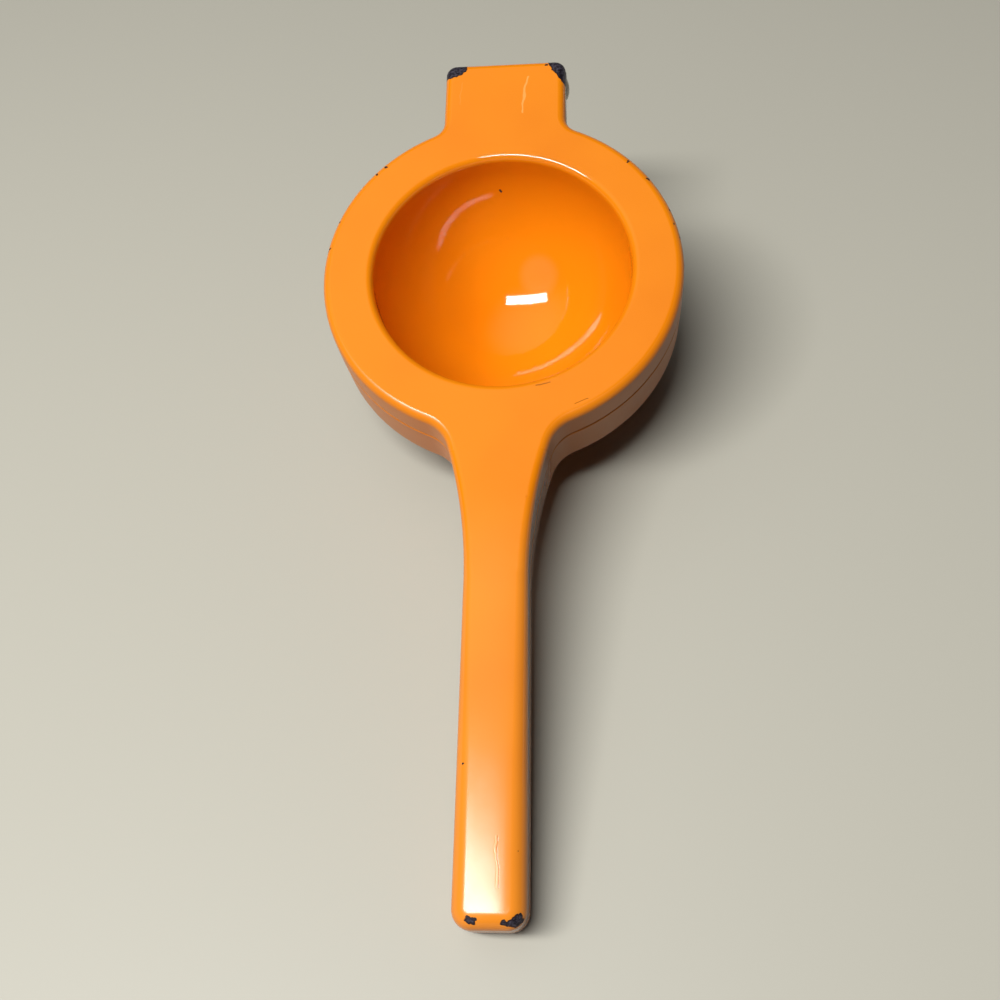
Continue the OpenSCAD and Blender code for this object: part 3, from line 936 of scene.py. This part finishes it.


# %% Chips, scratches and cracks of the upper lever
# The first two are large dark patches across the tab's corners, drawn with the chips.
tab_corners = [(-15.5, 67.4, 9.5, 4.95), (30.9, 73.7, 9.0, 20.1)]
handle_end = [(-4.2, -163.8, 9.0, 0.9), (-3.3, -163.8, 9.0, 0.9), (3.6, -164.0, 8.8, 0.75),
              (4.9, -164.2, 8.6, 0.9), (6.3, -164.0, 8.4, 1.6), (7.0, -162.9, 8.2, 0.8),
              (7.5, -164.3, 8.0, 0.9), (-8.2, -163.6, 5.5, 0.5)]
rim_specks = [(-46.6, 7.9, 9.0, 0.4), (-47.1, 7.0, 8.6, 0.3), (-44.6, 16.0, 9.0, 0.3),
              (-32.5, 33.2, 9.9, 0.45), (-35.2, 31.1, 9.9, 0.4), (-39.8, 26.6, 9.0, 0.25),
              (33.9, 31.8, 9.9, 0.35), (39.3, 26.3, 9.9, 0.4), (45.2, 16.2, 9.2, 0.35),
              (45.6, 11.6, 9.2, 0.35), (47.6, 7.7, 8.6, 0.4)]
small_specks = [(11.6, 65.6, 9.4, 0.4), (-6.6, -130.2, 9.6, 0.2), (-2.0, 33.4, -3.5, 0.42)]
upper_scratches = [
    (Vector((6.5, 61.6, 10)), Vector((5.1, 55.8, 10)), 0.15),
    (Vector((5.1, 55.8, 10)), Vector((5.1, 49.6, 10)), 0.15),
    (Vector((-12.6, 61.0, 10)), Vector((-12.2, 53.3, 10)), -0.08),
    (on_surface(press, 1.2, -146.2, 10), on_surface(press, 1.4, -157.0, 10), 0.0),
]
upper_cracks = [
    (Vector((9.4, -35.1, 10)), Vector((13.2, -34.3, 10)), 0.0),
    (Vector((19.3, -40.8, 10)), Vector((22.6, -38.9, 10)), 0.0),
    (on_surface(press, 1.8, -146.2, 10), on_surface(press, 2.0, -157.0, 10), -0.05),
]
upper_chips = tab_corners + seated(press, handle_end + rim_specks + small_specks)
press.data.materials.append(
    enamel("orange_enamel_upper", upper_chips, upper_scratches, upper_cracks, 0.0)
)
print(len(upper_chips), "chips on the upper lever")

# %% Chips, scratch and crack of the lower lever
OTHER_WAVES = 40.0  # moves the noise, so that this casting has waves of its own

lower_chips = [(-47.3, -6.0, -12.6, 0.5), (-40.2, -25.4, -13.2, 0.4), (36.5, -30.4, -13.0, 0.45),
               (47.0, 4.5, -12.8, 0.4), (0.5, -165.6, -5.2, 0.7), (-7.4, -163.6, -4.6, 0.5)]
lower_scratches = [(on_surface(cup, -3.0, -120.0, -9), on_surface(cup, -1.0, -131.0, -9), 0.04)]
lower_cracks = [(on_surface(cup, 21.0, -15.0, -38), on_surface(cup, 24.0, -12.0, -36), -0.02)]
lower_chips = seated(cup, lower_chips)
cup.data.materials.append(
    enamel("orange_enamel_lower", lower_chips, lower_scratches, lower_cracks, OTHER_WAVES)
)
print(len(lower_chips), "chips on the lower lever")

# %% [markdown]
# ## Steel of the rivet
#
# A mild steel pin, its heads hammered round and then dulled by years of juice. The hammer leaves shallow
# dents about a millimetre across, which cell noise gives, and the tarnish comes and goes in its roughness.

# %% The worn steel
TARNISH, RUBBED_STEEL = "#57534F", "#A9A49D"
TARNISH_SCALE, DENT_SCALE, DENT_DEPTH = 1.4, 1.1, 0.00008  # to the millimetre, and metres deep

material, tree = new_material("worn_rivet_steel")
spot = in_drawing(tree)
marks = add(tree, "TexNoise", {"Vector": spot, "Scale": TARNISH_SCALE, "Detail": 4.0})
dents = add(tree, "TexVoronoi", {"Vector": spot, "Scale": DENT_SCALE})
shader = add(tree, "BsdfPrincipled", {
    "Base Color": add(tree, "Mix", {0: marks, 6: linear(TARNISH), 7: linear(RUBBED_STEEL)},
                      data_type="RGBA"),
    "Metallic": 1.0,
    "Roughness": add(tree, "Math", {0: marks, 1: 0.3, 2: 0.15}, operation="MULTIPLY_ADD"),
    "Normal": add(tree, "Bump", {"Height": dents, "Distance": DENT_DEPTH, "Strength": 1.0}),
})
add(tree, "OutputMaterial", {"Surface": shader})
pin.data.materials.append(material)
print(len(tree.nodes), "nodes in", material.name)

# %% [markdown]
# ## The floor
#
# A plain pale floor. In the photograph little light comes back up from below, which is why the side walls
# are so dark. So the floor shows pale to the camera and in reflections, and is a darker grey only for the
# light that it scatters onto the object. It keeps the object's shadow. Further out, where the lamp no
# longer reaches, it grows as pale as the wall behind, again only for those rays.

# %% The floor
FLOOR_HALF = 30.0
FLOOR_SEEN, FLOOR_SCATTERS = "#AFAC9F", "#5C5952"
FAR_FROM, FAR_TO, FAR_GLOW, FAR_COLOUR = 0.3, 1.1, 0.5, "#FFFAF2"

bm = bmesh.new()
bmesh.ops.create_grid(bm, x_segments=1, y_segments=1, size=FLOOR_HALF)
floor = as_object("floor", bm)

material, tree = new_material("pale_floor")
ray = add(tree, "LightPath").outputs
seen = add(tree, "Math", {0: ray["Is Camera Ray"], 1: ray["Is Glossy Ray"]}, operation="MAXIMUM")
seen = add(tree, "Math", {0: seen, 1: ray["Is Transmission Ray"]}, operation="MAXIMUM")
away = add(tree, "VectorMath", {0: add(tree, "TexCoord").outputs["Object"]}, operation="LENGTH")
far = add(tree, "MapRange", {"Value": away.outputs["Value"], "From Min": FAR_FROM, "From Max": FAR_TO,
                             "To Max": FAR_GLOW}, **SMOOTH)
shader = add(tree, "BsdfPrincipled", {
    "Base Color": add(tree, "Mix", {0: seen, 6: linear(FLOOR_SCATTERS), 7: linear(FLOOR_SEEN)},
                      data_type="RGBA"),
    "Roughness": 0.5,
    "Emission Color": linear(FAR_COLOUR),
    "Emission Strength": add(tree, "Math", {0: far, 1: seen}, operation="MULTIPLY"),
})
add(tree, "OutputMaterial", {"Surface": shader})
floor.data.materials.append(material)
print(f"the floor is {2 * FLOOR_HALF:.0f} m wide")

# %% [markdown]
# ## The light
#
# The photograph's highlight in the bowl is the picture of a long, narrow lamp, high up and in front on the
# left. Following rays from its four corners off the bowl gave the lamp's direction, turn and proportions.
# The rest of the room is the world's light, which depends only on the direction in the room: very dim, with
# two soft patches. The wide one overhead lifts the flat tops, and the small one beside the lamp gives the
# bowl's pale patch above the highlight. The camera sees a pale wall instead, and so do reflections near
# the horizon. The wall scatters no light onto the object.

# %% The lamp
BOWL_MIDDLE, LAMP_AWAY = Vector((0.003, 0.065, 0.018)), Vector((-0.291, -0.350, 0.890)).normalized()
ALONG_LAMP = Vector((0.957, -0.130, 0.258))
LAMP_LENGTH, LAMP_WIDTH, LAMP_WATTS = 0.68, 0.14, 12.9

lamp = bpy.data.objects.new("long_lamp", bpy.data.lights.new("long_lamp", "AREA"))
lamp.data.shape, lamp.data.size, lamp.data.size_y = "RECTANGLE", LAMP_LENGTH, LAMP_WIDTH
lamp.data.energy = LAMP_WATTS
side = (ALONG_LAMP - ALONG_LAMP.dot(LAMP_AWAY) * LAMP_AWAY).normalized()
turn = Matrix((side, LAMP_AWAY.cross(side), LAMP_AWAY)).transposed().to_4x4()
lamp.matrix_world = Matrix.Translation(BOWL_MIDDLE + LAMP_AWAY) @ turn
bpy.context.collection.objects.link(lamp)
print("lamp at", tuple(round(v, 3) for v in lamp.matrix_world.translation))

# %% Soft patches of light
ROOM_GLOW = 0.02
OVERHEAD = (-0.35, 0.10, 0.93), 1.0, 0.72, 0.64  # direction, cosines at its middle and edge, strength
BESIDE_LAMP = (-0.49, -0.60, 0.63), 0.985, 0.93, 0.7

world = bpy.data.worlds.new("soft_room")
world.use_nodes = True
tree = world.node_tree
tree.nodes.clear()
direction = add(tree, "TexCoord").outputs["Generated"]
glow = ROOM_GLOW
for towards, near, far, strength in (OVERHEAD, BESIDE_LAMP):
    facing = add(tree, "VectorMath", {0: direction, 1: Vector(towards).normalized()},
                 operation="DOT_PRODUCT")
    patch = add(tree, "MapRange", {"Value": facing, "From Min": far, "From Max": near,
                                   "To Max": strength}, **SMOOTH)
    glow = add(tree, "Math", {0: patch, 1: glow}, operation="ADD")
    print(f"a patch of {2 * degrees(acos(far)):.0f} degrees across")

# %% The pale wall
WALL, WALL_TOP, WALL_FULL = 0.56, 0.22, 0.08  # its strength, and the heights between which it fades

height = add(tree, "SeparateXYZ", {0: direction}).outputs["Z"]
low = add(tree, "MapRange", {"Value": height, "From Min": WALL_TOP, "From Max": WALL_FULL}, **SMOOTH)
ray = add(tree, "LightPath").outputs
seen = add(tree, "Math", {0: ray["Is Glossy Ray"], 1: ray["Is Transmission Ray"]}, operation="MAXIMUM")
seen = add(tree, "Math", {0: seen, 1: low}, operation="MULTIPLY")
seen = add(tree, "Math", {0: seen, 1: ray["Is Camera Ray"]}, operation="MAXIMUM")
wall = add(tree, "Math", {0: seen, 1: WALL}, operation="MULTIPLY")
light = add(tree, "Math", {0: glow, 1: wall}, operation="MAXIMUM")
background = add(tree, "Background", {"Color": linear("#FFFFFF"), "Strength": light})
add(tree, "OutputWorld", {"Surface": background})
bpy.context.scene.world = world
bpy.context.scene.view_settings.view_transform = "Standard"
print(len(tree.nodes), "nodes in", world.name)

# %% [markdown]
# ## Riding on the CAD bodies
#
# Each dressed piece stands for its CAD node and moves with that node's body, so the upper lever and the pin
# swing together. The CAD nodes are hidden.

# %% Bodies
for obj, body, node, slot in (
    (press, "press_body", "press_lever", "enamel_upper"),
    (cup, "cup_body", "cup_lever", "enamel_lower"),
    (pin, "press_body", "hinge_pin", "rivet_steel"),
):
    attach(obj, body)
    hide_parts(node)
